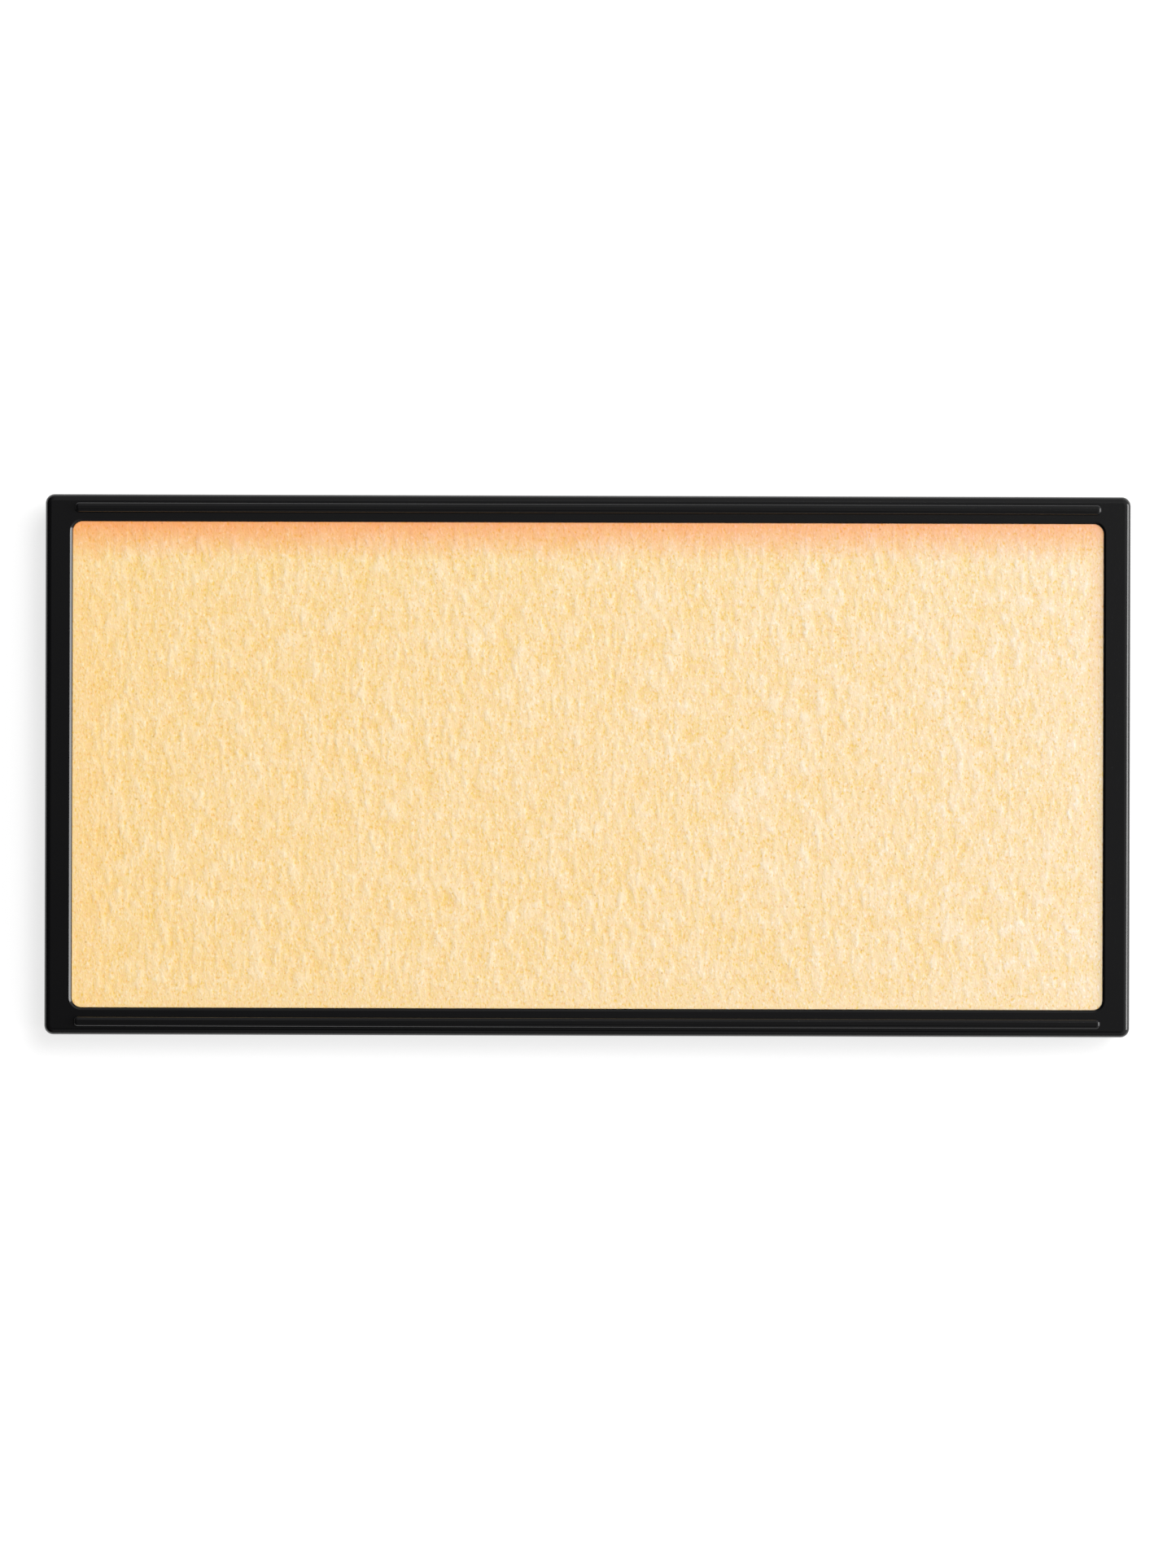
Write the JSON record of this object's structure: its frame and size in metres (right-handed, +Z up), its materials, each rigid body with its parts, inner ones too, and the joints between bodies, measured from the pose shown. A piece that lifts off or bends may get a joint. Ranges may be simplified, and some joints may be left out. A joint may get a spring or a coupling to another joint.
{
  "type": "pressed powder refill cartridge",
  "caption": "Flat rectangular refill cartridge: a black moulded frame with a raised bar along each long rim holds a pan of pale pressed powder over a plug-in base.",
  "frame": {"origin": "middle of the underside, on the surface that the cartridge stands on", "axes": "+X along the long side, +Y across it towards the top of the picture, +Z up out of the powder"},
  "size_m": [0.052, 0.026, 0.0048],
  "materials": {
    "frame_abs": "polished-mould gloss black ABS",
    "base_abs": "fine spark-eroded satin black ABS",
    "pan_aluminium": "deep drawn, bright with draw lines",
    "pressed_powder": "matt pressed powder with a fine fibrous mottle",
    "tape": "double-sided tissue tape",
    "keeper_steel": "zinc plated, tumbled",
    "adhesive": "translucent acrylic adhesive",
    "label_paper": "uncoated white paper, blank"
  },
  "bodies": {
    "base": {"base_plate": "base_abs", "pan_tape_left": "tape", "pan_tape_right": "tape", "keeper_disc_left": "keeper_steel", "keeper_disc_right": "keeper_steel", "keeper_adhesive_left": "adhesive", "keeper_adhesive_right": "adhesive", "back_label": "label_paper"},
    "frame": {"cartridge_frame": "frame_abs"},
    "pan": {"powder_pan": "pan_aluminium", "powder_cake": "pressed_powder"}
  },
  "joints": [
    {"name": "frame_lift", "type": "slide", "parent": "base", "child": "frame", "axis": [0, 0, 1], "range_m": [0, 0.014]},
    {"name": "pan_lift", "type": "slide", "parent": "base", "child": "pan", "axis": [0, 0, 1], "range_m": [0, 0.007]}
  ],
  "couplings": [
    {"joint": "pan_lift", "follows": "frame_lift", "ratio": 0.5}
  ]
}
